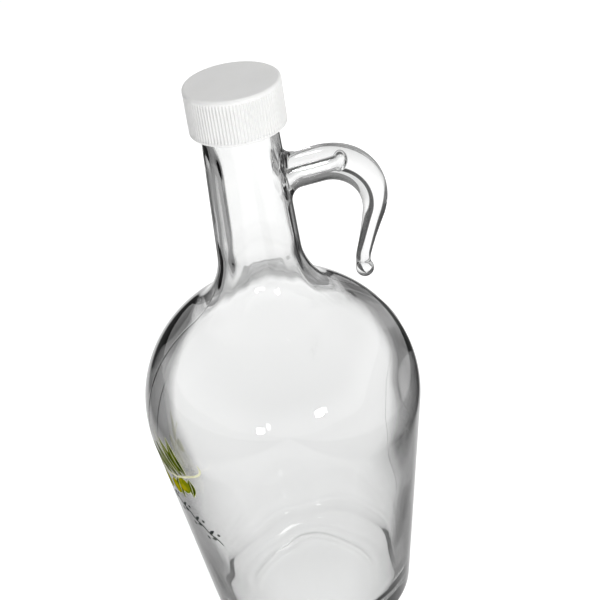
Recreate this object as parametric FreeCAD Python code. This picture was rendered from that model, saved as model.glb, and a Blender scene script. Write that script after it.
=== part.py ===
import FreeCAD, Part

import math
import os

# Half-litre glass oil bottle: an egg-shaped body that tapers to its foot, a slim neck with an
# open hook handle on one side, and a ribbed plastic screw cap. Millimetres, +Z up.
# The origin is the centre of the foot, on the surface the bottle stands on. The handle points
# along +X, and its centre line lies in the plane Y = 0.
V = FreeCAD.Vector
UP = V(0, 0, 1)

# ---- body of the bottle -------------------------------------------------------------------
foot_radius = 28.8          # outer edge of the flat ring the bottle stands on
foot_ring = 5.4             # width of that ring
push_up_height = 4.2        # rise of the dome under the floor
heel_round = 5.2            # rounding from the foot into the side
belly_radius = 45.4         # widest point
belly_height = 83.0         # height of the widest point
belly_curve = 40.0          # radius of the curve that makes the shoulder
shoulder_curve = 24.0       # hollow curve from the shoulder into the neck

# ---- neck and finish ----------------------------------------------------------------------
neck_length = 43.24         # from the hollow curve up to the finish
neck_low_radius = 13.3      # outside of the neck where it leaves the hollow curve
neck_top_radius = 11.8      # outside of the neck just under the finish
finish_radius = 12.5        # plain part of the screw finish
finish_height = 11.4        # from the step under the finish up to the rim
finish_step = 0.9           # height of the bevelled step under the finish
rim_round = 0.9             # rounding of the sealing rim

# ---- glass thickness ----------------------------------------------------------------------
body_wall = 2.4             # side wall
floor_wall = 4.2            # floor over the crown of the dome
inner_heel_round = 9.0      # rounding inside, from the floor into the side
neck_wall_low = 2.9         # neck wall at its foot
neck_wall_top = 2.4         # neck wall under the finish

# ---- hook handle --------------------------------------------------------------------------
handle_drop = 19.7          # centre line of the level run, below the finish
level_run = 10.9            # from the neck to where the bend starts
bend_radius = 16.2          # centre line of the bend
bend_turn = 110.0           # degrees: past vertical, so that the hook leans back to the neck
hook_run = 13.6             # straight stretch below the bend
flick_radius = 11.0         # small outward curve before the tip
flick_turn = 32.0           # degrees
level_steps = 3             # sections the handle is drawn through: along the level run,
bend_steps = 6              # round the bend,
run_steps = 3               # down the straight stretch
flick_steps = 3             # and round the outward curve
root_half_height = 5.8      # half of the handle's section where it leaves the neck
root_half_width = 5.4
tip_radius = 2.35           # half of the section at its thinnest
ball_radius = 2.9           # drop of glass at the tip
taper_from = 0.32           # share of the handle's length where it starts to thin
taper_to = 0.93             # share where it is at its thinnest
root_fillet = 4.0           # blend of the handle into the neck
ball_fillet = 1.5           # blend of the bar into the drop

# ---- hollow left in the root of the handle by blowing ----------------------------------------
channel_drop = 0.9          # below the handle's centre line
channel_radius = 1.6
channel_length = 19.5       # from the bore to the centre of the round end
channel_bulb_radius = 2.1
mouth_flare = 3.2           # growth of the channel's radius at its mouth
mouth_drop = 2.2            # how far the mouth's centre lies below the channel
mouth_length = 10.0         # length over which the mouth narrows
mouth_inside = 0.25         # share of that length lying inside the bore
mouth_steps = 6

# ---- screw cap ----------------------------------------------------------------------------
cap_wall = 1.4              # skirt, over the ribs
cap_height = 14.6
cap_top_wall = 1.8
cap_edge = 1.1              # width and height of the rounded edge
edge_out = 0.72             # where the edge's curve passes, as shares of that width and height
edge_up = 0.62
cap_band = 1.2              # plain band over the ribs
cap_lip = 1.0               # plain lip under the ribs
rib_count = 90
rib_depth = 0.4
rib_share = 0.6             # share of the pitch that the rib takes at its foot
rib_crest_share = 0.3       # share of the pitch at its crest
thread_room = 1.1           # room for the screw thread between finish and skirt
seal_gap = 0.0              # the cap's ceiling sits on the rim


# ---- plane geometry of the half section, points are (radius, height) ----------------------
def unit(dx, dz):
    size = math.hypot(dx, dz)
    return dx / size, dz / size


def outer_tangent(c1, r1, c2, r2):
    """Touch points of the line that lies outside two circles: its normal n, pointing away
    from the axis, meets n . c1 + r1 = n . c2 + r2."""
    dx = c2[0] - c1[0]
    dz = c2[1] - c1[1]
    away = math.atan2(dz, dx) - math.acos((r1 - r2) / math.hypot(dx, dz))
    nx = math.cos(away)
    nz = math.sin(away)
    return (c1[0] + r1 * nx, c1[1] + r1 * nz), (c2[0] + r2 * nx, c2[1] + r2 * nz)


def hollow_curve(low, high, centre, radius, curve):
    """Hollow arc of radius curve between the line low-high and a round shoulder: returns its
    touch point on the shoulder, its middle and its touch point on the line."""
    ux, uz = unit(high[0] - low[0], high[1] - low[1])
    nx = uz
    nz = -ux
    px = low[0] + curve * nx - centre[0]
    pz = low[1] + curve * nz - centre[1]
    along = px * ux + pz * uz
    reach = radius + curve
    step = -along + math.sqrt(along * along - px * px - pz * pz + reach * reach)
    mid = (low[0] + curve * nx + step * ux, low[1] + curve * nz + step * uz)
    on_line = (mid[0] - curve * nx, mid[1] - curve * nz)
    sx, sz = unit(mid[0] - centre[0], mid[1] - centre[1])
    on_round = (centre[0] + radius * sx, centre[1] + radius * sz)
    return on_round, mid, on_line


def point(p):
    """On the side away from the handle, so that no seam of a turned face crosses the root."""
    return V(-p[0], 0, p[1])


def line(a, b):
    return Part.LineSegment(point(a), point(b)).toShape()


def arc(a, centre, b, radius):
    """Short arc from a to b about centre."""
    mx, mz = unit((a[0] + b[0]) / 2 - centre[0], (a[1] + b[1]) / 2 - centre[1])
    mid = (centre[0] + radius * mx, centre[1] + radius * mz)
    return Part.Arc(point(a), point(mid), point(b)).toShape()


def revolve(edges):
    """Closed half section turned once about the axis."""
    face = Part.Face(Part.Wire(edges))
    return face.revolve(V(0, 0, 0), UP, 360)


# ---- glass ----------------------------------------------------------------------------------
belly_centre = (belly_radius - belly_curve, belly_height)


def neck_start():
    """Height where the hollow curve, which touches the round shoulder, turns into the neck."""
    nx, nz = unit(neck_length, neck_low_radius - neck_top_radius)
    across = neck_low_radius + shoulder_curve * nx - belly_centre[0]
    up = math.sqrt((belly_curve + shoulder_curve) ** 2 - across ** 2)
    return belly_centre[1] + up - shoulder_curve * nz


neck_low = neck_start()
neck_top = neck_low + neck_length
finish_foot = neck_top + finish_step
glass_height = finish_foot + finish_height
push_up_radius = foot_radius - foot_ring
dome_curve = (push_up_radius ** 2 + push_up_height ** 2) / (2 * push_up_height)
dome_centre = (0, push_up_height - dome_curve)


def neck_outside(height):
    share = (height - neck_low) / neck_length
    return neck_low_radius + share * (neck_top_radius - neck_low_radius)


def neck_inside(height):
    share = (height - neck_low) / neck_length
    return neck_outside(height) - neck_wall_low - share * (neck_wall_top - neck_wall_low)


def outer_edges():
    """From the middle of the foot out, up the side, and back to the axis over the rim."""
    heel = (foot_radius, heel_round)
    side_low, side_high = outer_tangent(heel, heel_round, belly_centre, belly_curve)
    neck_foot = (neck_low_radius, neck_low)
    neck_head = (neck_top_radius, neck_top)
    on_round, mid, on_neck = hollow_curve(neck_foot, neck_head, belly_centre, belly_curve,
                                          shoulder_curve)
    rim_centre = (finish_radius - rim_round, glass_height - rim_round)
    finish_low = (finish_radius, finish_foot)
    finish_high = (finish_radius, glass_height - rim_round)
    rim = (finish_radius - rim_round, glass_height)
    return [
        arc((0, push_up_height), dome_centre, (push_up_radius, 0), dome_curve),
        line((push_up_radius, 0), (foot_radius, 0)),
        arc((foot_radius, 0), heel, side_low, heel_round),
        line(side_low, side_high),
        arc(side_high, belly_centre, on_round, belly_curve),
        arc(on_round, mid, on_neck, shoulder_curve),
        line(on_neck, neck_head),
        line(neck_head, finish_low),
        line(finish_low, finish_high),
        arc(finish_high, rim_centre, rim, rim_round),
        line(rim, (0, glass_height)),
        line((0, glass_height), (0, push_up_height)),
    ]


def inner_edges():
    """The space inside, up through the neck and past the rim."""
    side_curve = belly_curve - body_wall
    floor_curve = dome_curve + floor_wall
    heel_x = foot_radius + heel_round - body_wall - inner_heel_round
    floor_reach = floor_curve + inner_heel_round
    heel = (heel_x, dome_centre[1] + math.sqrt(floor_reach ** 2 - heel_x ** 2))
    fx, fz = unit(heel[0], heel[1] - dome_centre[1])
    on_floor = (floor_curve * fx, dome_centre[1] + floor_curve * fz)
    side_low, side_high = outer_tangent(heel, inner_heel_round, belly_centre, side_curve)
    bore_foot = (neck_inside(neck_low), neck_low)
    bore_head = (neck_inside(glass_height), glass_height)
    on_round, mid, on_bore = hollow_curve(bore_foot, bore_head, belly_centre, side_curve,
                                          shoulder_curve)
    return [
        arc((0, push_up_height + floor_wall), dome_centre, on_floor, floor_curve),
        arc(on_floor, heel, side_low, inner_heel_round),
        line(side_low, side_high),
        arc(side_high, belly_centre, on_round, side_curve),
        arc(on_round, mid, on_bore, shoulder_curve),
        line(on_bore, bore_head),
        line(bore_head, (0, glass_height)),
        line((0, glass_height), (0, push_up_height + floor_wall)),
    ]


def ring(centre, along, half_height, half_width):
    """Oval section square to the direction along, its width across the handle's plane: a unit
    circle stretched along its own axes."""
    high = V(0, 1, 0).cross(along) * half_height
    stretch = FreeCAD.Matrix(high.x, 0, along.x, centre.x,
                             0, half_width, 0, centre.y,
                             high.z, 0, along.z, centre.z)
    return Part.Wire(Part.makeCircle(1).transformGeometry(stretch).Edges)


handle_height = neck_top - handle_drop
bore_at_handle = neck_inside(handle_height)


def hook_path():
    """Centre line of the handle as (point, direction, length so far), from inside the wall."""
    stations = []
    bend_x = neck_outside(handle_height) + level_run
    level = bend_x - bore_at_handle
    for i in range(level_steps + 1):
        s = level * i / (level_steps + 1)
        stations.append((V(bore_at_handle + s, 0, handle_height), V(1, 0, 0), s))
    bend = V(bend_x, 0, handle_height - bend_radius)
    for i in range(bend_steps + 1):
        turn = math.radians(bend_turn) * i / bend_steps
        spot = bend + V(math.sin(turn), 0, math.cos(turn)) * bend_radius
        stations.append((spot, V(math.cos(turn), 0, -math.sin(turn)),
                         level + bend_radius * turn))
    start, along, so_far = stations[-1]
    for i in range(1, run_steps + 1):
        s = hook_run * i / run_steps
        stations.append((start + along * s, along, so_far + s))
    start, along, so_far = stations[-1]
    outward = V(-along.z, 0, along.x)
    for i in range(1, flick_steps + 1):
        turn = math.radians(flick_turn) * i / flick_steps
        spot = start + along * (flick_radius * math.sin(turn))
        spot = spot + outward * (flick_radius * (1 - math.cos(turn)))
        lean = along * math.cos(turn) + outward * math.sin(turn)
        stations.append((spot, lean, so_far + flick_radius * turn))
    return stations


def hook():
    """Handle as a smooth tapering bar through its sections, with a drop at the tip."""
    stations = hook_path()
    full = stations[-1][2]
    sections = []
    for spot, along, s in stations:
        share = (s / full - taper_from) / (taper_to - taper_from)
        thin = (1 - math.cos(math.pi * min(max(share, 0), 1))) / 2
        height = root_half_height + thin * (tip_radius - root_half_height)
        width = root_half_width + thin * (tip_radius - root_half_width)
        sections.append(ring(spot, along, height, width))
    bar = Part.makeLoft(sections, True, False)
    ball = Part.makeSphere(ball_radius, stations[-1][0])
    return bar.fuse(ball)


def channel():
    """Hollow in the handle's root: a round-ended tube whose mouth flares down into the bore."""
    start_x = bore_at_handle - mouth_inside * mouth_length
    height = handle_height - channel_drop
    sections = []
    for i in range(mouth_steps + 1):
        share = i / mouth_steps
        grow = (1 - share) ** 2
        spot = V(start_x + mouth_length * share, 0, height - mouth_drop * grow)
        size = channel_radius + mouth_flare * grow
        sections.append(ring(spot, V(1, 0, 0), size, size))
    end = V(bore_at_handle + channel_length, 0, height)
    sections.append(ring(end, V(1, 0, 0), channel_radius, channel_radius))
    tube = Part.makeLoft(sections, True, False)
    return tube.fuse(Part.makeSphere(channel_bulb_radius, end))


def meeting(shape, one, other):
    """Edges where a face on one kind of surface meets a face on the other kind."""
    found = []
    for edge in shape.Edges:
        kinds = [face.Surface for face in shape.ancestorsOfType(edge, Part.Face)]
        if any(isinstance(k, one) for k in kinds) and any(isinstance(k, other) for k in kinds):
            found.append(edge)
    return found


def bottle():
    outside = revolve(outer_edges()).fuse(hook())
    outside = outside.makeFillet(root_fillet, meeting(outside, Part.Cone, Part.BSplineSurface))
    outside = outside.makeFillet(ball_fillet, meeting(outside, Part.BSplineSurface, Part.Sphere))
    inside = revolve(inner_edges()).fuse(channel())
    return outside.cut(inside)


# ---- cap --------------------------------------------------------------------------------------
cap_top = glass_height + seal_gap + cap_top_wall
cap_foot = cap_top - cap_height
cap_bore = finish_radius + thread_room
cap_radius = cap_bore + cap_wall
cap_top_radius = cap_radius - cap_edge


def cap_shell():
    """Turned cap: plain band, rounded edge, flat top, hollow below its ceiling."""
    groove = cap_radius - rib_depth
    edge = cap_top - cap_edge
    band = edge - cap_band
    lip = cap_foot + cap_lip
    mid = (cap_top_radius + edge_out * cap_edge, edge + edge_up * cap_edge)
    rounded = Part.Arc(point((cap_radius, edge)), point(mid), point((cap_top_radius, cap_top)))
    return revolve([
        line((cap_bore, cap_foot), (cap_radius, cap_foot)),
        line((cap_radius, cap_foot), (cap_radius, lip)),
        line((cap_radius, lip), (groove, lip)),
        line((groove, lip), (groove, band)),
        line((groove, band), (cap_radius, band)),
        line((cap_radius, band), (cap_radius, edge)),
        rounded.toShape(),
        line((cap_top_radius, cap_top), (0, cap_top)),
        line((0, cap_top), (0, cap_top - cap_top_wall)),
        line((0, cap_top - cap_top_wall), (cap_bore, cap_top - cap_top_wall)),
        line((cap_bore, cap_top - cap_top_wall), (cap_bore, cap_foot)),
    ])


def ribs():
    """All ribs as one fluted ring: trapezoid teeth round the groove's radius."""
    groove = cap_radius - rib_depth
    lip = cap_foot + cap_lip
    band = cap_top - cap_edge - cap_band
    pitch = 2 * math.pi / rib_count
    corners = []
    for i in range(rib_count):
        for share, radius in ((-rib_share / 2, groove), (-rib_crest_share / 2, cap_radius),
                              (rib_crest_share / 2, cap_radius), (rib_share / 2, groove)):
            turn = pitch * (i + share)
            corners.append(V(radius * math.cos(turn), radius * math.sin(turn), lip))
    corners.append(corners[0])
    disc = Part.Face(Part.makePolygon(corners))
    fluted = disc.extrude(V(0, 0, band - lip))
    core = Part.makeCylinder(groove - rib_depth, band - lip, V(0, 0, lip))
    return fluted.cut(core)


def cap():
    return cap_shell().fuse(ribs()).removeSplitter()


os.makedirs("parts", exist_ok=True)
for name, solid in (("bottle", bottle()), ("cap", cap())):
    print(name, solid.ShapeType, solid.isValid(), len(solid.Solids), round(solid.Volume, 1),
          len(solid.Faces))
    solid.exportStep("parts/" + name + ".step")
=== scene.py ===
import math

import bmesh
import bpy
import numpy as np
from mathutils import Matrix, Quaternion, Vector


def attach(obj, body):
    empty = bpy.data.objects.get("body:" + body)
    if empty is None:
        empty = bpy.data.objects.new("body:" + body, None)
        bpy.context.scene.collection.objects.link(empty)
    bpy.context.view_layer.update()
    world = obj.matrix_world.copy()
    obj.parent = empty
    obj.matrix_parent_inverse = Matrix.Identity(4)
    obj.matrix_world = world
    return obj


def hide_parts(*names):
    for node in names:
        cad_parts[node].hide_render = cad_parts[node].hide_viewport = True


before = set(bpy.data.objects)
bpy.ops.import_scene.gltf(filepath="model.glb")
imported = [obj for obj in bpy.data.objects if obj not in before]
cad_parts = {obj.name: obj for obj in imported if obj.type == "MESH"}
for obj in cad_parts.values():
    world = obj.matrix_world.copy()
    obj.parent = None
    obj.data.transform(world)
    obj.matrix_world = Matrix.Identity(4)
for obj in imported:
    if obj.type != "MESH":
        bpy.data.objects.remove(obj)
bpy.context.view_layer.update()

# Clear glass oil bottle with a hook handle, a ribbed white screw cap and an olive sprig print.
# Lengths are in millimetres until a mesh is made; heights count from the foot.
mm = 0.001                  # a millimetre in metres

# ---- body ---------------------------------------------------------------------------------
foot_radius = 28.8          # outer edge of the flat ring the bottle stands on
foot_ring = 5.4             # width of that ring
push_up_height = 4.2        # rise of the dome under the floor
heel_round = 5.2            # rounding from the foot into the side
belly_radius = 45.4         # widest point
belly_height = 83.0         # height of the widest point
belly_curve = 40.0          # radius of the curve that makes the shoulder
shoulder_curve = 24.0       # hollow curve from the shoulder into the neck
body_wall = 2.4             # side wall
floor_wall = 4.2            # floor over the crown of the dome
inner_heel_round = 9.0      # rounding inside, from the floor into the side

# ---- neck and finish ----------------------------------------------------------------------
neck_length = 43.24         # from the hollow curve up to the finish
neck_low_radius = 13.3      # outside of the neck where it leaves the hollow curve
neck_top_radius = 11.8      # outside of the neck just under the finish
neck_wall_low = 2.9         # neck wall at its foot
neck_wall_top = 2.4         # neck wall under the finish
finish_radius = 12.5        # plain part of the screw finish
finish_height = 11.4        # from the step under the finish up to the rim
finish_step = 0.9           # height of the bevelled step under the finish
rim_round = 0.9             # rounding of the rim outside
lip_round = 0.7             # and inside
thread_height = 0.8
thread_width = 0.75
thread_pitch = 3.2
thread_turns = 1.6
thread_start = 2.6          # above the foot of the finish
thread_fade = 0.08          # share of a turn in which the thread rises and falls

# ---- handle and the hollow in its root ------------------------------------------------------
handle_drop = 19.7          # centre line of the level run, below the finish
level_run = 10.9            # from the neck to where the bend starts
bend_radius = 16.2          # centre line of the bend
bend_turn = 110.0           # degrees
hook_run = 13.6             # straight stretch below the bend
flick_radius = 11.0         # small outward curve before the tip
flick_turn = 32.0           # degrees
root_half_height = 5.8      # half of the handle's section where it leaves the neck
root_half_width = 5.4
root_fillet = 4.0           # blend of the handle into the neck
tip_radius = 2.35           # half of the section at its thinnest
ball_radius = 2.9           # drop of glass at the tip
ball_blend = 0.25           # softness of the bar's blend into the drop
taper_from = 0.32           # share of the handle's length where it starts to thin
taper_to = 0.93             # share where it is at its thinnest
root_block = (11.6, 43.0)   # neck wall remade round the root: half its height, half its degrees
channel_drop = 0.9          # below the handle's centre line
channel_radius = 1.6
channel_length = 19.5       # from the bore to the centre of the round end
bulb_radius = 2.3           # of that round end
bulb_blend = 0.15           # softness of the channel's blend into it
bulb_lead = 2.6             # where the blend starts, before the centre
mouth_drop = 1.5            # how far the mouth's centre lies below the channel
mouth_half = 4.3            # half of the mouth's width and height
mouth_reach = 7.0           # from the bore to where the trumpet has narrowed
mouth_curl = 3.4            # how far the trumpet follows the bore before it turns
mouth_lead = 9.0            # and how far it follows the channel
mouth_block = (6.6, 36.0)   # bore wall remade round the mouth, as root_block

# ---- cap ------------------------------------------------------------------------------------
cap_wall = 1.4              # skirt, over the ribs
cap_height = 14.6
cap_top_wall = 1.8
cap_edge = 0.95             # rounded edge
cap_band = 0.5              # plain band over the ribs
cap_lip = 1.0               # plain lip under the ribs
cap_foot_round = 0.3        # rounding of the lip
cap_inner_round = 0.5       # rounding between skirt and top, inside
rib_count = 90
rib_depth = 0.45
thread_room = 1.1           # room for the screw thread between finish and skirt
pole = 0.01                 # radius at which a turned line is merged to a point

# ---- mould seam and the uneven inside of blown glass ------------------------------------------
seam_height = 0.10
seam_width = 0.32           # degrees
seam_rise = (4.0, 9.0)      # heights between which it comes in
seam_end = 3.0              # it dies out over this length under the finish
body_waves = [(0.5, 3, 0.05, 0.6), (0.35, 7, -0.085, 0.0), (0.25, 11, 0.21, 2.0),
              (0.3, 2, -0.12, 1.1)]   # height, waves round, lean, start
wave_height = 0.20
wave_rise = (8.0, 30.0)     # heights between which the waves come in
wave_fall = (104.0, 130.0)  # and die out
thick_side = 172.0          # degrees round from the handle: the wall is thicker there
thick_extra = 2.9
thick_rise = (34.0, 92.0)
other_side = -14.0          # a little thicker here too
other_extra = 1.45
other_rise = (50.0, 88.0)
neck_waves = [(1.0, 8, 0.03, 0.5), (0.6, 13, -0.04, 0.0)]
neck_wave = 0.10            # height of the ripples in the bore
neck_extra = 1.0            # extra wall in the neck, on the thick side
neck_rise = (104.0, 146.0)
neck_fall = (166.0, 180.0)
groove_depth = 0.28         # shallow groove inside the foot of the neck
groove_height = 3.0         # above that foot
groove_width = 4.0

# ---- print: millimetres round from the side opposite the handle, and height -------------------
print_radius = 43.8         # of the body where the print lies
under_foot = 16             # points of the outer profile left out, under the foot
leaf_shapes = [             # base, tip, half width, bow
    ((20.8, 76.2), (13.4, 88.0), 1.9, 0.7), ((18.4, 74.8), (8.6, 85.6), 2.0, -0.5),
    ((15.6, 73.4), (5.2, 82.6), 1.8, 0.3), ((11.4, 72.2), (1.2, 80.2), 1.8, 0.5),
    ((21.2, 74.8), (20.6, 66.6), 1.6, 0.5), ((14.6, 72.6), (14.6, 63.4), 1.6, -0.5),
    ((0.8, 71.9), (-2.2, 63.9), 1.5, 0.5), ((4.8, 72.0), (-4.4, 81.4), 1.7, -0.6),
    ((-3.6, 73.4), (-12.0, 82.0), 1.6, 0.5), ((-4.4, 72.8), (-8.8, 65.0), 1.5, -0.4)]
olive_shapes = [            # middle, half length, half width, tilt in degrees
    ((17.4, 70.4), 3.5, 2.9, 60), ((11.4, 67.2), 3.1, 2.6, 80), ((4.4, 65.8), 3.2, 2.6, 100)]
stalk_lines = [((17.9, 74.4), (17.6, 73.0)), ((11.0, 71.9), (11.4, 69.8)),
               ((5.0, 71.4), (4.4, 68.6))]
branch_line = [(27.4, 83.4), (28.8, 81.2), (26.6, 78.6), (22.6, 76.8), (19.4, 75.0),
               (13.0, 72.2), (5.0, 71.4), (-3.0, 72.8), (-9.0, 74.6), (-14.5, 73.8)]
vine_line = [(4.0, 59.0), (7.0, 60.0), (10.0, 57.2), (13.0, 57.4), (16.0, 54.0), (19.0, 53.8),
             (22.0, 50.4), (25.0, 50.0), (27.4, 47.4)]
cream_edge = 0.20           # how far the cream ground shows round leaves and olives
branch_ground = 0.42        # half widths of the drawn lines
branch_half = 0.20
vein_half = 0.13
stalk_half = 0.24
vine_half = 0.36
ground_lift = 0.02          # height of each layer of enamel over the glass
leaf_lift = 0.05
olive_lift = 0.06
vein_lift = 0.07

# ---- levels of the paper and the room ---------------------------------------------------------
paper_tone = 0.3            # diffuse tone of the paper, as it is seen
paper_tone_around = 0.08    # and in the light it gives back to the bottle
paper_glow = 1.05           # light of the paper near the bottle
paper_glow_far = 0.82       # far from it
paper_glow_under = 0.74     # and right under it
paper_fade = (0.40, 0.80)   # distances, in metres, between which it goes from near to far
paper_rise = (0.03, 0.33)   # and from under to near
paper_seen = 0.87           # least light as it is seen
sky_low = 0.85              # light of the room near the horizon
sky_high = 0.12             # and overhead
sky_fade = (0.10, 0.55)     # heights of the direction between which it fades
left_level = 0.9            # share of the room's light that the left side has
left_fade = (-0.9, -0.1)
turned_level = 0.26         # share left of light turned once inside a wall
turned_depth = 3.0          # bounces after which that is so
deep_level = 0.75           # share left of light turned many times
deep_fade = (4.5, 5.5)      # bounces between which that comes in
strip_side = (0.973, -0.230, 0.0)   # direction across the bright strip on the paper
strip_reach = 0.5           # metres to each side that its levels cover
strip_stops = [(-0.20, 0.06), (-0.15, 1.0), (0.085, 1.0), (0.10, 0.02), (0.20, 0.02),
               (0.23, 0.9)]         # metres across, level
strip_depth = 2.5           # bounces past which the strip makes no difference


# ---- half sections ----------------------------------------------------------------------------
def unit(x, z):
    """The direction (x, z) with length 1."""
    size = math.hypot(x, z)
    return x / size, z / size


def curve(centre, radius, start, end, count):
    """Points of a circle: centre + radius (cos a, sin a), with a even from start to end."""
    a = np.linspace(start, end, count)
    return np.stack([centre[0] + radius * np.cos(a), centre[1] + radius * np.sin(a)], 1)


def straight(a, b, count):
    """Even points a (1 - s) + b s of a line, s from 0 to 1."""
    share = np.linspace(0, 1, count)[:, None]
    return np.array(a) * (1 - share) + np.array(b) * share


def joined(*parts):
    """Polylines end to end, each start that repeats an end left out."""
    return np.concatenate([parts[0]] + [p[1:] for p in parts[1:]])


def outer_tangent(c1, r1, c2, r2):
    """Angle of the normal n shared by two circles: n . c1 + r1 = n . c2 + r2."""
    dx, dz = c2[0] - c1[0], c2[1] - c1[1]
    return math.atan2(dz, dx) - math.acos((r1 - r2) / math.hypot(dx, dz))


def hollow_middle(low, high, centre, radius):
    """Middle of the hollow arc that touches the line low-high and a round shoulder: the point at
    shoulder_curve from the line and at radius + shoulder_curve from the shoulder's centre; and
    the angle at which the arc meets the line."""
    ux, uz = unit(high[0] - low[0], high[1] - low[1])
    nx, nz = uz, -ux
    px = low[0] + shoulder_curve * nx - centre[0]
    pz = low[1] + shoulder_curve * nz - centre[1]
    along = px * ux + pz * uz
    reach = radius + shoulder_curve
    step = -along + math.sqrt(along * along - px * px - pz * pz + reach * reach)
    return (low[0] + shoulder_curve * nx + step * ux,
            low[1] + shoulder_curve * nz + step * uz), math.atan2(-nz, -nx)


belly_centre = (belly_radius - belly_curve, belly_height)
lean = unit(neck_length, neck_low_radius - neck_top_radius)
across = neck_low_radius + shoulder_curve * lean[0] - belly_centre[0]
neck_low = (belly_height + math.sqrt((belly_curve + shoulder_curve) ** 2 - across ** 2)
            - shoulder_curve * lean[1])
neck_top = neck_low + neck_length
finish_foot = neck_top + finish_step
glass_height = finish_foot + finish_height
cap_top = glass_height + cap_top_wall
cap_foot = cap_top - cap_height
handle_height = neck_top - handle_drop
channel_height = handle_height - channel_drop
mouth_height = channel_height - mouth_drop
push_up_radius = foot_radius - foot_ring
dome_curve = (push_up_radius ** 2 + push_up_height ** 2) / (2 * push_up_height)
dome_centre = (0.0, push_up_height - dome_curve)


def neck_outside(z):
    """Outside radius of the neck at a height, on a straight line from its foot to its top."""
    return neck_low_radius + (z - neck_low) / neck_length * (neck_top_radius - neck_low_radius)


def neck_inside(z):
    """Inside radius there: the outside less a wall that thins evenly upwards."""
    share = (z - neck_low) / neck_length
    return neck_outside(z) - neck_wall_low - share * (neck_wall_top - neck_wall_low)


def outer_profile():
    """(radius, height) from the middle of the foot to the rim, and the rows of the neck."""
    heel = (foot_radius, heel_round)
    side = outer_tangent(heel, heel_round, belly_centre, belly_curve)
    mid, on_neck = hollow_middle((neck_low_radius, neck_low), (neck_top_radius, neck_top),
                                 belly_centre, belly_curve)
    on_round = math.atan2(mid[1] - belly_height, mid[0] - belly_centre[0])
    dome_edge = math.atan2(-dome_centre[1], push_up_radius)
    low = joined(
        curve(dome_centre, dome_curve, math.pi / 2, dome_edge, 14),
        straight((push_up_radius, 0), (foot_radius, 0), 5),
        curve(heel, heel_round, -math.pi / 2, side, 9),
        straight((heel[0] + heel_round * math.cos(side), heel[1] + heel_round * math.sin(side)),
                 (belly_centre[0] + belly_curve * math.cos(side),
                  belly_centre[1] + belly_curve * math.sin(side)), 22),
        curve(belly_centre, belly_curve, side, on_round, 40),
        curve(mid, shoulder_curve, on_round - math.pi, on_neck, 22),
    )
    neck = straight(low[-1], (neck_top_radius, neck_top), 58)
    rim_centre = (finish_radius - rim_round, glass_height - rim_round)
    high = joined(
        straight((neck_top_radius, neck_top), (finish_radius, finish_foot), 4),
        straight((finish_radius, finish_foot), (finish_radius, glass_height - rim_round), 34),
        curve(rim_centre, rim_round, 0, math.pi / 2, 6),
    )
    return joined(low, neck, high), (len(low) - 1, len(low) + len(neck) - 2)


def inner_profile():
    """(radius, height) from the middle of the floor to the rim, and the rows of the bore."""
    wall_curve = belly_curve - body_wall
    floor_curve = dome_curve + floor_wall
    heel_x = foot_radius + heel_round - body_wall - inner_heel_round
    heel_z = dome_centre[1] + math.sqrt((floor_curve + inner_heel_round) ** 2 - heel_x ** 2)
    heel = (heel_x, heel_z)
    on_floor = math.atan2(heel_z - dome_centre[1], heel_x)
    side = outer_tangent(heel, inner_heel_round, belly_centre, wall_curve)
    bore_head = (neck_inside(glass_height), glass_height)
    mid, on_bore = hollow_middle((neck_inside(neck_low), neck_low), bore_head,
                                 belly_centre, wall_curve)
    on_round = math.atan2(mid[1] - belly_height, mid[0] - belly_centre[0])
    low = joined(
        curve(dome_centre, floor_curve, math.pi / 2, on_floor, 12),
        curve(heel, inner_heel_round, on_floor - math.pi, side, 12),
        straight((heel[0] + inner_heel_round * math.cos(side),
                  heel[1] + inner_heel_round * math.sin(side)),
                 (belly_centre[0] + wall_curve * math.cos(side),
                  belly_centre[1] + wall_curve * math.sin(side)), 20),
        curve(belly_centre, wall_curve, side, on_round, 38),
        curve(mid, shoulder_curve, on_round - math.pi, on_bore, 20),
    )
    lip_foot = glass_height - lip_round
    bore = straight(low[-1], (neck_inside(lip_foot), lip_foot), 62)
    high = curve((bore[-1][0] + lip_round, lip_foot), lip_round, math.pi, math.pi / 2, 5)
    return joined(low, bore, high), (len(low) - 1, len(low) + len(bore) - 2)


# ---- meshes -----------------------------------------------------------------------------------
def grid_faces(rows, cols, keep=None, wrap=True):
    """Quads of a grid whose point (i, j) has the number i * cols + j; keep is a mask of cells."""
    last = cols if wrap else cols - 1
    i, j = np.meshgrid(np.arange(rows - 1), np.arange(last), indexing="ij")
    k = (j + 1) % cols
    quads = np.stack([i * cols + j, i * cols + k, (i + 1) * cols + k, (i + 1) * cols + j], -1)
    quads = quads.reshape(-1, 4)
    return quads if keep is None else quads[keep.reshape(-1)]


def mesh_object(name, parts, materials, merge=0.004, recalc=True):
    """One smooth object from (points in mm, quads, material number) parts, its shared borders
    merged; recalc turns the faces of a closed one outwards."""
    points, quads, skin, start = [], [], [], 0
    for p, q, number in parts:
        points.append(p.reshape(-1, 3))
        quads.append(q + start)
        skin.append(np.full(len(q), number))
        start += len(points[-1])
    mesh = bpy.data.meshes.new(name)
    mesh.from_pydata((np.concatenate(points) * mm).tolist(), [],
                     np.concatenate(quads).tolist())
    mesh.polygons.foreach_set("material_index", np.concatenate(skin))
    b = bmesh.new()
    b.from_mesh(mesh)
    bmesh.ops.remove_doubles(b, verts=b.verts, dist=merge * mm)
    if recalc:
        bmesh.ops.recalc_face_normals(b, faces=b.faces)
    b.to_mesh(mesh)
    b.free()
    mesh.shade_smooth()
    for m in materials:
        mesh.materials.append(m)
    obj = bpy.data.objects.new(name, mesh)
    bpy.context.scene.collection.objects.link(obj)
    return obj


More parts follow.
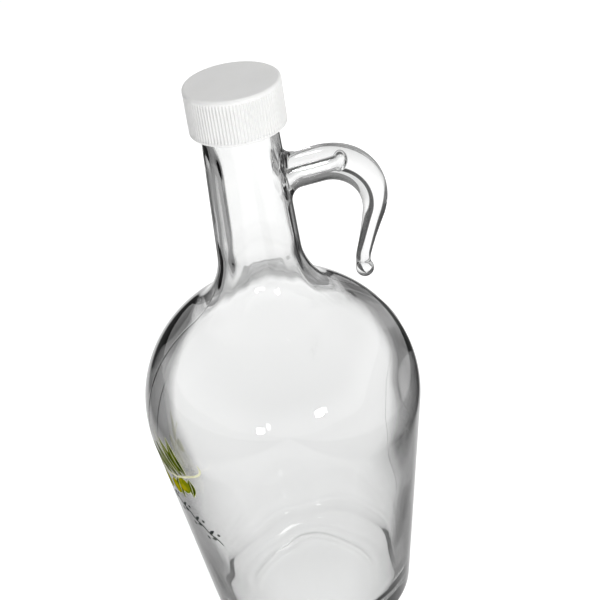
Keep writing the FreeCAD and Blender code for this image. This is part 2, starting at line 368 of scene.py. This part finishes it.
def window(rows):
    """Border of a block of cells round column 0, as row and column numbers, once round."""
    c = np.arange(-rows["cols"], rows["cols"] + 1)
    r = np.arange(rows["count"] + 1)
    row = np.concatenate([np.zeros(len(c)), r[1:], np.full(len(c) - 1, r[-1]), r[-2:0:-1]])
    col = np.concatenate([c, np.full(len(r) - 1, c[-1]), c[-2::-1], np.full(len(r) - 2, c[0])])
    return (row + rows["start"]).astype(int), col.astype(int)


def turned(profile, turns, extra):
    """Points (r cos t, r sin t, z) with r = profile radius + extra(t, z), rows by columns; no
    extra on the axis, where the rows close to a point."""
    t, z = np.meshgrid(turns, profile[:, 1])
    r = profile[:, :1] + extra(t, z) * (profile[:, :1] > 1)
    return np.stack([r * np.cos(t), r * np.sin(t), z], -1)


def ease(x, low, high):
    """0 below low, 1 above high, a smooth step between."""
    s = np.clip((x - low) / (high - low), 0, 1)
    return s * s * (3 - 2 * s)


def ripples(waves, t, z):
    """Sum of height * sin(waves round * t + lean * z + start)."""
    return sum(height * np.sin(count * t + tilt * z + start)
               for height, count, tilt, start in waves)


def seam(t):
    """Ridge of the mould joint in the handle's plane: a bell curve of the angle off it."""
    off = np.degrees(np.minimum(np.abs(t), np.abs(np.abs(t) - math.pi)))
    return seam_height * np.exp(-(off / seam_width) ** 2)


def outer_relief(t, z):
    """Mould seam below the finish, and the screw thread: a ridge that climbs a pitch a turn."""
    total = seam(t) * ease(z, *seam_rise) * (1 - ease(z, neck_top - seam_end, neck_top))
    for turn in range(int(thread_turns) + 1):
        run = np.mod(t, 2 * math.pi) / (2 * math.pi) + turn
        rise = finish_foot + thread_start + thread_pitch * run
        ends = ease(run, 0, thread_fade) * (1 - ease(run, thread_turns - thread_fade,
                                                     thread_turns))
        total = total + thread_height * ends * np.exp(-((z - rise) / thread_width) ** 4)
    return total


def inner_relief(t, z):
    """Growth of the inside radius. In the body: long shallow waves, less the extra wall, which
    is a smooth step of the cosine of the angle off each thick side. In the neck: less the extra
    wall and the ripples. Plus a bell curve of the height for the groove at the neck's foot."""
    body = ease(z, *wave_rise) * (1 - ease(z, *wave_fall))
    wave = ripples(body_waves, t, z)
    side = np.cos(t - math.radians(thick_side))
    thick = thick_extra * ease(side, 0.15, 0.95) * (1 + 0.1 * wave) * ease(z, *thick_rise)
    other = other_extra * ease(np.cos(t - math.radians(other_side)), 0.55, 0.98)
    uneven = 1 + 0.3 * wave + 0.35 * np.sin(0.17 * z + 2 * t)
    thick = thick + other * uneven * ease(z, *other_rise)
    bore = ease(z, *neck_rise) * (1 - ease(z, *neck_fall))
    neck = neck_extra * ease(side, 0.0, 0.9) + neck_wave * ripples(neck_waves, t, z)
    groove = groove_depth * np.exp(-((z - neck_low - groove_height) / groove_width) ** 2)
    return (wave_height * wave - thick) * body - neck * bore + groove


def turns_round(count):
    """Even angles round the axis, with finer ones at the two mould joints."""
    even = np.arange(count) * 2 * math.pi / count
    fine = np.radians([0.25, 0.5, 0.85])
    both = np.concatenate([fine, -fine])
    every = np.concatenate([even, both, both + math.pi]) % (2 * math.pi)
    return np.unique(np.round(every, 9))


def angles_round(turn, rise):
    """Angle round an opening at which each point of its block's border lies, the block taken as
    a square: atan2(rise / largest rise, turn / largest turn)."""
    return np.arctan2(rise / abs(rise).max(), turn / abs(turn).max())


def drawn_in(border, turn, foot_turn, foot_height, count, radius):
    """Even rings on the neck's wall from a block's border to a closed line inside it, the
    radius a function of angle and height."""
    share = np.linspace(0, 1, count)[:, None]
    t = turn * (1 - share) + foot_turn * share
    z = border[:, 2] * (1 - share) + foot_height * share
    r = radius(t, z)
    rings = np.stack([r * np.cos(t), r * np.sin(t), z], -1)
    rings[0] = border
    return rings


def soft_larger(a, b, blend):
    """Smooth larger of two sizes: blend * log(exp(a / blend) + exp(b / blend))."""
    return blend * np.log(np.exp(a / blend) + np.exp(b / blend))


def handle_path():
    """Centre line in the handle's plane as columns: x, z, direction angle, length so far. A
    level run and a bend, a straight run and a small bend the other way, each an arc
    (sin a, 1 - cos a) times its radius."""
    bend_x = neck_outside(handle_height) + level_run
    level = bend_x - neck_inside(handle_height)
    turn = np.radians(bend_turn) * np.linspace(0, 1, 30)
    bend = np.stack([bend_x + bend_radius * np.sin(turn),
                     handle_height - bend_radius * (1 - np.cos(turn)), -turn,
                     level + bend_radius * turn], 1)
    s = np.linspace(0, hook_run, 9)[1:]
    x0, z0, a0, s0 = bend[-1]
    run = np.stack([x0 + s * math.cos(a0), z0 + s * math.sin(a0), 0 * s + a0, s0 + s], 1)
    x0, z0, a0, s0 = run[-1]
    turn = np.radians(flick_turn) * np.linspace(0, 1, 12)[1:]
    side = flick_radius * (1 - np.cos(turn))
    ahead = flick_radius * np.sin(turn)
    flick = np.stack([x0 + ahead * math.cos(a0) - side * math.sin(a0),
                      z0 + ahead * math.sin(a0) + side * math.cos(a0),
                      a0 + turn, s0 + flick_radius * turn], 1)
    return np.concatenate([bend, run, flick])


def tube(path, half_height, half_width, around):
    """Rings across a path in the handle's plane: centre + width cos f across + height sin f up."""
    x, z, a = path[:, 0, None], path[:, 1, None], path[:, 2, None]
    up = half_height[:, None] * np.sin(around)
    side = half_width[:, None] * np.cos(around)
    return np.stack([x - up * np.sin(a), side + 0 * x, z + up * np.cos(a)], -1)


def handle_root(outer, rows):
    """Rings from a block of the neck to the handle's oval, and the angle f round them. The
    fillet's centres lie at root_fillet from the oval, along its normal, and from the neck; its
    arc turns from the direction to the neck to the direction to the oval."""
    border = outer[window(rows)]
    turn = np.arctan2(border[:, 1], border[:, 0])
    f = angles_round(turn, border[:, 2] - handle_height)
    py, pz = root_half_width * np.cos(f), root_half_height * np.sin(f)
    ny, nz = np.cos(f) / root_half_width, np.sin(f) / root_half_height
    size = np.hypot(ny, nz)
    ny, nz = ny / size, nz / size
    cy, cz = py + root_fillet * ny, pz + root_fillet * nz
    cx = np.sqrt((neck_outside(handle_height + cz) + root_fillet) ** 2 - cy ** 2)
    foot = np.arctan2(cy, cx)
    spread = drawn_in(border, turn, foot, handle_height + cz, 6,
                      lambda t, z: neck_outside(z) + outer_relief(t, z))
    centre = np.stack([cx, cy, handle_height + cz], -1)
    first = np.stack([-np.cos(foot), -np.sin(foot), 0 * f], -1)
    last = np.stack([0 * f, -ny, -nz], -1)
    angle = np.arccos(np.clip((first * last).sum(-1), -1, 1))
    share = np.linspace(0, 1, 11)[1:, None]
    w0 = np.sin((1 - share) * angle) / np.sin(angle)
    w1 = np.sin(share * angle) / np.sin(angle)
    fillet = centre + root_fillet * (w0[..., None] * first + w1[..., None] * last)
    return np.concatenate([spread, fillet]), f


def handle_bar(f):
    """Rings of the handle and its round end: half sizes ease from the root's to the tip's by
    half less half a cosine, and grow into the drop, a ball round the path's end."""
    path = handle_path()
    full = path[-1, 3]
    share = (path[:, 3] / full - taper_from) / (taper_to - taper_from)
    thin = (1 - np.cos(math.pi * np.clip(share, 0, 1))) / 2
    drop = np.sqrt(np.clip(ball_radius ** 2 - (full - path[:, 3]) ** 2, 0, None))
    high = soft_larger(root_half_height + thin * (tip_radius - root_half_height), drop,
                       ball_blend)
    wide = soft_larger(root_half_width + thin * (tip_radius - root_half_width), drop,
                       ball_blend)
    over = np.linspace(0, math.pi / 2, 10)[1:]
    x, z, a = path[-1, :3]
    end = np.stack([x + ball_radius * np.sin(over) * math.cos(a),
                    z + ball_radius * np.sin(over) * math.sin(a), 0 * over + a], 1)
    end_size = high[-1] * np.cos(over)
    return np.concatenate([tube(path, high, wide, f), tube(end, end_size, end_size, f)])


def handle_parts(outer, rows):
    """The handle's root, a straight lead of rings from it, and the bar with its drop."""
    root, f = handle_root(outer, rows)
    bar = handle_bar(f)
    share = np.linspace(0, 1, 7)[1:-1, None, None]
    lead = root[-1] * (1 - share) + bar[0] * share
    points = np.concatenate([root, lead, bar])
    return points, grid_faces(len(points), len(f))


def channel_parts(inner, rows):
    """Hollow in the handle's root. Its trumpet mouth is a cubic blend from the bore, where it
    follows the wall, to the channel, which it follows; then rings along x to the round end."""
    border = inner[window(rows)]
    turn = np.arctan2(border[:, 1], border[:, 0])
    f = angles_round(turn, border[:, 2] - mouth_height)
    bore = neck_inside(handle_height)
    foot = mouth_half / bore * np.cos(f)
    spread = drawn_in(border, turn, foot, mouth_height + mouth_half * np.sin(f), 5,
                      lambda t, z: neck_inside(z))
    low = spread[-1]
    inward = mouth_curl * np.stack([np.sin(foot) * np.cos(f), -np.cos(foot) * np.cos(f),
                                    -np.sin(f)], -1)
    ring = np.stack([0 * f + bore + mouth_reach, channel_radius * np.cos(f),
                     channel_height + channel_radius * np.sin(f)], -1)
    ahead = np.array([mouth_lead, 0, 0])
    s = np.linspace(0, 1, 15)[1:, None, None]
    mouth = ((2 * s ** 3 - 3 * s ** 2 + 1) * low + (s ** 3 - 2 * s ** 2 + s) * inward
             + (3 * s ** 2 - 2 * s ** 3) * ring + (s ** 3 - s ** 2) * ahead)
    end = bore + channel_length
    x = np.concatenate([np.linspace(bore + mouth_reach, end - bulb_lead, 6)[1:],
                        end - bulb_radius * np.cos(np.linspace(0.35, math.pi, 18))])
    ball = np.sqrt(np.clip(bulb_radius ** 2 - (x - end) ** 2, 0, None))
    size = np.where(x < end, soft_larger(channel_radius, ball, bulb_blend), ball)
    path = np.stack([x, 0 * x + channel_height, 0 * x], 1)
    points = np.concatenate([spread, mouth, tube(path, size, size, f)])
    return points, grid_faces(len(points), len(f))


def block(profile, span, turns, middle, size):
    """Cells of a turned wall within size (half height, half degrees) of the handle's plane at a
    height: their first row, and how many rows, and columns to each side."""
    z = profile[:, 1]
    half_height, half_turn = size
    inside = [i for i in range(span[0], span[1] + 1) if abs(z[i] - middle) <= half_height]
    cols = int(np.sum((turns > 0) & (turns <= math.radians(half_turn))))
    return {"start": inside[0], "count": inside[-1] - inside[0], "cols": cols}


def cut_block(rows, total_rows, cols):
    """Mask of the grid cells left when the block is taken out."""
    keep = np.ones((total_rows - 1, cols), bool)
    span = np.arange(-rows["cols"], rows["cols"])
    keep[rows["start"]:rows["start"] + rows["count"], span] = False
    return keep


def glass_bottle(outer_skin, inner_skin):
    """One closed wall: the turned outside and inside, joined at the rim, with the handle in
    place of a block of the outside and its channel in place of a block of the inside."""
    turns = turns_round(144)
    outer_line, neck_span = outer_profile()
    inner_line, bore_span = inner_profile()
    outer = turned(outer_line, turns, outer_relief)
    inner = turned(inner_line, turns, inner_relief)
    root = block(outer_line, neck_span, turns, handle_height, root_block)
    mouth = block(inner_line, bore_span, turns, mouth_height, mouth_block)
    n = len(turns)
    parts = [(outer, grid_faces(len(outer), n, cut_block(root, len(outer), n)), 0),
             (inner, grid_faces(len(inner), n, cut_block(mouth, len(inner), n)), 1),
             (np.stack([outer[-1], inner[-1]]), grid_faces(2, n), 0),
             (*handle_parts(outer, root), 0),
             (*channel_parts(inner, mouth), 1)]
    return mesh_object("glass-bottle", parts, [outer_skin, inner_skin])


def screw_cap(material):
    """Turned cap. Between the ribs its radius is less by rib_depth times a cosine wave that is
    steepened and cut off at 0 and 1; the ribs fade out at the lip and at the band."""
    radius = finish_radius + thread_room + cap_wall
    bore = finish_radius + thread_room
    foot = cap_foot + cap_foot_round
    ceiling = glass_height - cap_inner_round
    low_end = (cap_foot + cap_lip - 0.25, cap_foot + cap_lip + 0.25)
    band = cap_top - cap_edge - cap_band
    high_end = (band - 0.3, band + 0.1)
    skirt = joined(
        straight((pole, glass_height), (bore - cap_inner_round, glass_height), 5),
        curve((bore - cap_inner_round, ceiling), cap_inner_round, math.pi / 2, 0, 4),
        straight((bore, ceiling), (bore, foot), 8),
        straight((bore, foot), (bore + cap_foot_round, cap_foot), 2),
        straight((bore + cap_foot_round, cap_foot), (radius - cap_foot_round, cap_foot), 2),
        curve((radius - cap_foot_round, foot), cap_foot_round, -math.pi / 2, 0, 4),
        straight((radius, foot), (radius, low_end[0]), 3),
        straight((radius, low_end[0]), (radius, low_end[1]), 3),
        straight((radius, low_end[1]), (radius, high_end[0]), 10),
        straight((radius, high_end[0]), (radius, high_end[1]), 3),
        straight((radius, high_end[1]), (radius, cap_top - cap_edge), 3),
        curve((radius - cap_edge, cap_top - cap_edge), cap_edge, 0, math.pi / 2, 9),
        straight((radius - cap_edge, cap_top), (pole, cap_top), 12),
    )
    count = rib_count * 8
    t, z = np.meshgrid(np.arange(count) * 2 * math.pi / count, skirt[:, 1])
    wave = 0.5 - 0.5 * np.cos(rib_count * t)
    flute = np.clip(1.5 * wave - 0.25, 0, 1)
    height = ease(z, *low_end) * (1 - ease(z, *high_end))
    outside = skirt[:, :1] > radius - 0.05
    r = skirt[:, :1] - rib_depth * flute * height * outside
    points = np.stack([r * np.cos(t), r * np.sin(t), z], -1)
    return mesh_object("screw-cap", [(points, grid_faces(len(points), count), 0)], [material],
                       merge=0.03)


# ---- print, drawn flat and then wrapped on the glass --------------------------------------------
def leaf(base, tip, width, bend, grow=0.0):
    """Points along and across a leaf: a bowed centre line between base and tip, and a half
    width of width * sin(pi s ** 0.8) + grow, s running from base to tip."""
    s = np.linspace(0, 1, 25)[:, None]
    base, tip = np.array(base, float), np.array(tip, float)
    reach = np.hypot(*(tip - base))
    along = (tip - base) / reach
    side = np.array([-along[1], along[0]])
    run = -grow + s * (reach + 2 * grow)
    bow = bend * np.sin(math.pi * s)
    half = width * np.sin(math.pi * s ** 0.8) + grow * np.minimum(1, 6 * np.minimum(s, 1 - s))
    off = bow + half * np.linspace(-1, 1, 7)
    return base + run[..., None] * along + off[..., None] * side


def ribbon(points, half, count=60):
    """A drawn line: straight runs through the points, rounded by averaging each point with its
    neighbours, and a half width that narrows to nothing at both ends."""
    points = np.array(points, float)
    s = np.linspace(0, len(points) - 1, count)
    line = np.stack([np.interp(s, np.arange(len(points)), points[:, k]) for k in (0, 1)], 1)
    for _ in range(14):
        line[1:-1] = (line[:-2] + 2 * line[1:-1] + line[2:]) / 4
    step = np.gradient(line, axis=0)
    step = step / np.hypot(step[:, 0], step[:, 1])[:, None]
    side = np.stack([-step[:, 1], step[:, 0]], 1)
    wide = half * np.minimum(1, 8 * np.minimum(np.linspace(0.03, 1, count),
                                               np.linspace(1, 0.06, count)))
    across = np.linspace(-1, 1, 3)
    return line[:, None] + wide[:, None, None] * across[None, :, None] * side[:, None]


def fruit(middle, long, short, tilt, grow=0.0):
    """Rings of an oval from its middle out: middle + s (long cos a, short sin a), tilted."""
    out = np.linspace(0, 1, 8)[:, None]
    a = np.linspace(0, 2 * math.pi, 33)
    u, v = (long + grow) * out * np.cos(a), (short + grow) * out * np.sin(a)
    c, n = math.cos(math.radians(tilt)), math.sin(math.radians(tilt))
    return np.stack([middle[0] + u * c - v * n, middle[1] + u * n + v * c], -1)


def on_glass(shapes, lift):
    """Flat shapes wrapped on the body: turn = pi + x / print_radius, and the body's radius at
    that height plus the lift. The faces are turned round, to point outwards."""
    line = outer_profile()[0][under_foot:]
    parts = []
    for shape in shapes:
        t = math.pi + shape[..., 0] / print_radius
        z = shape[..., 1]
        r = np.interp(z, line[:, 1], line[:, 0]) + lift
        points = np.stack([r * np.cos(t), r * np.sin(t), z], -1)
        parts.append((points, grid_faces(*shape.shape[:2], wrap=False)[:, ::-1], 0))
    return parts


def either_side(points):
    """Each point with 1 or -1, in turn: the side of the vine on which its leaf grows."""
    return [(x, y, (-1) ** k) for k, (x, y) in enumerate(points)]


def print_pieces():
    """Enamel sprig in layers: cream grounds, green leaves, olives, and a small dark vine below."""
    cream = enamel("cream enamel", (0.74, 0.72, 0.46), (0.86, 0.85, 0.66))
    green = enamel("leaf enamel", (0.025, 0.045, 0.002), (0.125, 0.155, 0.005))
    olive = enamel("olive enamel", (0.07, 0.14, 0.002), (0.38, 0.33, 0.006))
    dark = enamel("dark enamel", (0.03, 0.035, 0.035), (0.10, 0.11, 0.10))
    grounds = [leaf(*shape, grow=cream_edge) for shape in leaf_shapes]
    grounds += [ribbon(branch_line, branch_ground)]
    grounds += [fruit(*shape, grow=cream_edge) for shape in olive_shapes]
    leaves = [leaf(*shape) for shape in leaf_shapes]
    leaves += [ribbon(line, stalk_half) for line in stalk_lines]
    veins = [leaf(base, tip, vein_half, bow) for base, tip, _, bow in leaf_shapes]
    veins += [ribbon(branch_line, branch_half)]
    vine = [ribbon(vine_line, vine_half)]
    vine += [leaf((x, y), (x + 2.9 * side, y + 2.2 * side + 0.8), 0.62, 0.2)
             for x, y, side in either_side(vine_line[:-1])]
    vine += [fruit((x + 1.5 * side, y + 1.9 * side), 0.75, 0.55, 30 * x)
             for x, y, side in either_side(vine_line[1:-1])]
    layers = [("print-grounds", grounds, ground_lift, cream),
              ("print-leaves", leaves, leaf_lift, green),
              ("print-olives", [fruit(*shape) for shape in olive_shapes], olive_lift, olive),
              ("print-veins", veins, vein_lift, cream),
              ("print-vine", vine, ground_lift, dark)]
    return [mesh_object(name, on_glass(shapes, lift), [finish], recalc=False)
            for name, shapes, lift, finish in layers]


# ---- nodes --------------------------------------------------------------------------------------
def new_material(name):
    """An empty node material: itself, its node tree and its output's surface socket."""
    made = bpy.data.materials.new(name)
    made.use_nodes = True
    made.node_tree.nodes.clear()
    out = made.node_tree.nodes.new("ShaderNodeOutputMaterial")
    return made, made.node_tree, out.inputs["Surface"]


def add(tree, kind, values=None, **settings):
    """A new shader node with the values of its sockets and its settings."""
    node = tree.nodes.new("ShaderNode" + kind)
    for name, value in settings.items():
        setattr(node, name, value)
    for socket, value in (values or {}).items():
        node.inputs[socket].default_value = value
    return node


def object_place(tree):
    """The place on the object, for a pattern that stays on it."""
    return add(tree, "TexCoord").outputs["Object"]


def noise(tree, place, scale, detail):
    """A cloudy pattern, with scale patches to a metre."""
    node = add(tree, "TexNoise", {"Scale": scale, "Detail": detail})
    tree.links.new(place, node.inputs["Vector"])
    return node.outputs["Fac"]


def bump(tree, height, strength, distance):
    """A surface that rises and falls with a pattern, by distance in metres."""
    node = add(tree, "Bump", {"Strength": strength, "Distance": distance})
    tree.links.new(height, node.inputs["Height"])
    return node.outputs["Normal"]


def ramp(tree, value, stops):
    """Colour of a value, between stops of (position, colour)."""
    node = add(tree, "ValToRGB")
    elements = node.color_ramp.elements
    while len(elements) < len(stops):
        elements.new(1.0)
    for element, (position, colour) in zip(elements, stops):
        element.position = position
        element.color = (*colour, 1)
    tree.links.new(value, node.inputs["Fac"])
    return node.outputs["Color"]


def remap(tree, value, old, new, smooth=False):
    """A value's range old made the range new, held at both ends."""
    node = add(tree, "MapRange", {"From Min": old[0], "From Max": old[1],
                                  "To Min": new[0], "To Max": new[1]},
               interpolation_type="SMOOTHSTEP" if smooth else "LINEAR")
    tree.links.new(value, node.inputs["Value"])
    return node.outputs["Result"]


def compute(tree, operation, *values):
    """Math node of sockets and numbers."""
    node = add(tree, "Math", operation=operation)
    for value, socket in zip(values, node.inputs):
        if isinstance(value, float):
            socket.default_value = value
        else:
            tree.links.new(value, socket)
    return node.outputs["Value"]


# ---- finishes -----------------------------------------------------------------------------------
def clear_glass(name, start, end, edge):
    """Flint glass: smooth, with painted shade at its edges: its colour goes darker where it is seen
    along its skin, from a slant of start to one of end, and edge is the darkest painted shade. Its
    shadow is nearly clear."""
    made, tree, surface = new_material(name)
    glass = add(tree, "BsdfPrincipled", {"Roughness": 0.0, "IOR": 1.5,
                                         "Transmission Weight": 1.0})
    # painted shade: the glass's colour goes dark where it is seen at a slant, to draw dark edges
    slant = add(tree, "LayerWeight", {"Blend": 0.5}).outputs["Facing"]
    painted_edge_shade = ramp(tree, slant, [(start, (0.995, 0.998, 0.996)), (end, (edge, edge, edge))])
    tree.links.new(painted_edge_shade, glass.inputs["Base Color"])
    waves = noise(tree, object_place(tree), 55.0, 1.0)
    tree.links.new(bump(tree, waves, 0.10, 0.0006), glass.inputs["Normal"])
    clear = add(tree, "BsdfTransparent", {"Color": (0.90, 0.91, 0.905, 1)})
    mix = add(tree, "MixShader")
    tree.links.new(add(tree, "LightPath").outputs["Is Shadow Ray"], mix.inputs["Fac"])
    tree.links.new(glass.outputs["BSDF"], mix.inputs[1])
    tree.links.new(clear.outputs["BSDF"], mix.inputs[2])
    tree.links.new(mix.outputs["Shader"], surface)
    return made


def white_plastic():
    """Satin polypropylene: fine grain, faint mottling in tone and gloss, a little light inside."""
    made, tree, surface = new_material("white plastic")
    plastic = add(tree, "BsdfPrincipled", {"Subsurface Weight": 0.15,
                                           "Subsurface Radius": (0.0012, 0.0012, 0.0011),
                                           "Subsurface Scale": 1.0})
    place = object_place(tree)
    mottle = noise(tree, place, 140.0, 3.0)
    tone = ramp(tree, mottle, [(0.3, (0.83, 0.83, 0.822)), (0.7, (0.86, 0.86, 0.853))])
    tree.links.new(tone, plastic.inputs["Base Color"])
    tree.links.new(remap(tree, mottle, (0.0, 1.0), (0.36, 0.50)), plastic.inputs["Roughness"])
    grain = noise(tree, place, 2600.0, 2.0)
    tree.links.new(bump(tree, grain, 0.35, 0.00006), plastic.inputs["Normal"])
    tree.links.new(plastic.outputs["BSDF"], surface)
    return made


def enamel(name, low, high):
    """Fired enamel, matt: its colour drifts between two tones, and it is a little uneven."""
    made, tree, surface = new_material(name)
    paint = add(tree, "BsdfPrincipled", {"Roughness": 0.4, "Specular IOR Level": 0.0})
    drift = noise(tree, object_place(tree), 330.0, 3.0)
    tree.links.new(ramp(tree, drift, [(0.36, low), (0.64, high)]), paint.inputs["Base Color"])
    tree.links.new(bump(tree, drift, 0.2, 0.00003), paint.inputs["Normal"])
    tree.links.new(paint.outputs["BSDF"], surface)
    return made


# ---- the room -----------------------------------------------------------------------------------
def strip_level(tree, place, path):
    """Level of the paper for light mirrored by the glass or bent by the solid handle: a bright
    strip runs front to back, with the paper dark beside it, as between two black cards. It is 1
    for light from a matt surface and past a few bounces."""
    across = add(tree, "VectorMath", operation="DOT_PRODUCT")
    across.inputs[1].default_value = strip_side
    tree.links.new(place, across.inputs[0])
    share = remap(tree, across.outputs["Value"], (-strip_reach, strip_reach), (0.0, 1.0))
    level = ramp(tree, share, [(0.5 + 0.5 * off / strip_reach, (tone, tone, tone))
                               for off, tone in strip_stops])
    past = compute(tree, "GREATER_THAN", path.outputs["Ray Depth"], strip_depth)
    level = compute(tree, "MAXIMUM", level, past)
    return compute(tree, "MAXIMUM", level, path.outputs["Is Diffuse Ray"])


def bent_level(tree, path):
    """Level of the room for light that the glass has turned aside, as in a room that is white
    only behind the bottle: 1 straight through, less after one turn inside a wall or many."""
    depth = path.outputs["Ray Depth"]
    once = compute(tree, "COMPARE", depth, turned_depth, 0.5)
    return compute(tree, "MULTIPLY", remap(tree, once, (0.0, 1.0), (1.0, turned_level)),
                   remap(tree, depth, deep_fade, (1.0, deep_level)))


def floor_paper():
    """White paper that glows as if lit from behind: most near the bottle, less right under it
    and far from it. It is seen at paper_seen at least, and as matt paper besides."""
    made, tree, surface = new_material("white paper")
    place = object_place(tree)
    path = add(tree, "LightPath")
    seen = path.outputs["Is Camera Ray"]
    paper = add(tree, "BsdfDiffuse")
    tree.links.new(remap(tree, seen, (0.0, 1.0), (paper_tone_around, paper_tone)),
                   paper.inputs["Color"])
    length = add(tree, "VectorMath", operation="LENGTH")
    tree.links.new(place, length.inputs[0])
    distance = length.outputs["Value"]
    level = remap(tree, distance, paper_fade, (paper_glow, paper_glow_far), smooth=True)
    for factor in (remap(tree, distance, paper_rise, (paper_glow_under / paper_glow, 1.0)),
                   bent_level(tree, path), strip_level(tree, place, path)):
        level = compute(tree, "MULTIPLY", level, factor)
    least = compute(tree, "MULTIPLY", seen, paper_seen)
    glow = add(tree, "Emission")
    tree.links.new(compute(tree, "MAXIMUM", level, least), glow.inputs["Strength"])
    both = add(tree, "AddShader")
    tree.links.new(paper.outputs["BSDF"], both.inputs[0])
    tree.links.new(glow.outputs["Emission"], both.inputs[1])
    tree.links.new(both.outputs["Shader"], surface)
    return made


def floor():
    """A wide round sheet of paper just under the bottle."""
    radius, sides, drop = 6.0, 96, 0.0004       # metres
    a = np.arange(sides) * 2 * math.pi / sides
    points = np.stack([radius * np.cos(a), radius * np.sin(a), 0 * a - drop], 1)
    mesh = bpy.data.meshes.new("paper-floor")
    mesh.from_pydata(points.tolist(), [], [list(range(sides))])
    mesh.materials.append(floor_paper())
    obj = bpy.data.objects.new("paper-floor", mesh)
    bpy.context.scene.collection.objects.link(obj)


def room():
    """Soft room: white near the horizon, dark overhead and a little less light on the left. It
    is seen as plain white."""
    world = bpy.data.worlds.new("soft room")
    world.use_nodes = True
    bpy.context.scene.world = world
    tree = world.node_tree
    tree.nodes.clear()
    split = add(tree, "SeparateXYZ")
    tree.links.new(add(tree, "TexCoord").outputs["Generated"], split.inputs["Vector"])
    path = add(tree, "LightPath")
    level = remap(tree, split.outputs["Z"], sky_fade, (sky_low, sky_high), smooth=True)
    left = remap(tree, split.outputs["X"], left_fade, (left_level, 1.0), smooth=True)
    for factor in (bent_level(tree, path), left):
        level = compute(tree, "MULTIPLY", level, factor)
    glow = add(tree, "Background", {"Color": (1, 1, 1, 1)})
    tree.links.new(compute(tree, "MAXIMUM", level, path.outputs["Is Camera Ray"]),
                   glow.inputs["Strength"])
    tree.links.new(glow.outputs["Background"], add(tree, "OutputWorld").inputs["Surface"])


def looking(place, target):
    """Rotation of a thing at place that looks at target with its top up."""
    ahead = np.array(target, float) - np.array(place, float)
    return Vector(ahead).to_track_quat("-Z", "Y")


def lamp(name, place, target, size, power):
    """A square soft light at place that points at target."""
    data = bpy.data.lights.new(name, "AREA")
    data.size = size
    data.energy = power
    obj = bpy.data.objects.new(name, data)
    obj.location = place
    obj.rotation_euler = looking(place, target).to_euler()
    obj.visible_camera = False
    bpy.context.scene.collection.objects.link(obj)


def camera(place, target, roll, lens):
    """The camera at place, aimed at target and rolled by degrees about its line of sight."""
    data = bpy.data.cameras.new("camera")
    data.lens = lens
    data.sensor_width = 36.0
    data.clip_start = 0.01
    data.clip_end = 50.0
    obj = bpy.data.objects.new("camera", data)
    obj.location = place
    obj.rotation_mode = "QUATERNION"
    obj.rotation_quaternion = looking(place, target) @ Quaternion((0, 0, 1), math.radians(roll))
    bpy.context.scene.collection.objects.link(obj)
    bpy.context.scene.camera = obj


# ---- the scene ------------------------------------------------------------------------------------
# edge sets the painted shade at the edges of each skin of the glass
bottle = glass_bottle(clear_glass("clear glass", start=0.38, end=0.80, edge=0.03),
                      clear_glass("clear glass inside", start=0.60, end=0.76, edge=0.30))
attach(bottle, "root")
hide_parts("bottle")
cap = screw_cap(white_plastic())
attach(cap, "root")
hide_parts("cap")

for piece in print_pieces():
    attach(piece, "root")

floor()
room()
lamp("front light", place=(0.38, -1.5, 0.48), target=(0, 0, 0.12), size=0.17, power=10.0)
lamp("small light", place=(-0.85, -1.25, 0.30), target=(0, 0, 0.12), size=0.15, power=3.2)
lamp("top light", place=(0.25, 0.2, 1.3), target=(0, 0, 0.1), size=0.22, power=6.6)
camera(place=(-0.09611, -0.45063, 0.38916), target=(0.01052, 0.0, 0.11535), roll=-8.863,
       lens=100.32)
bpy.context.scene.view_settings.view_transform = "Standard"
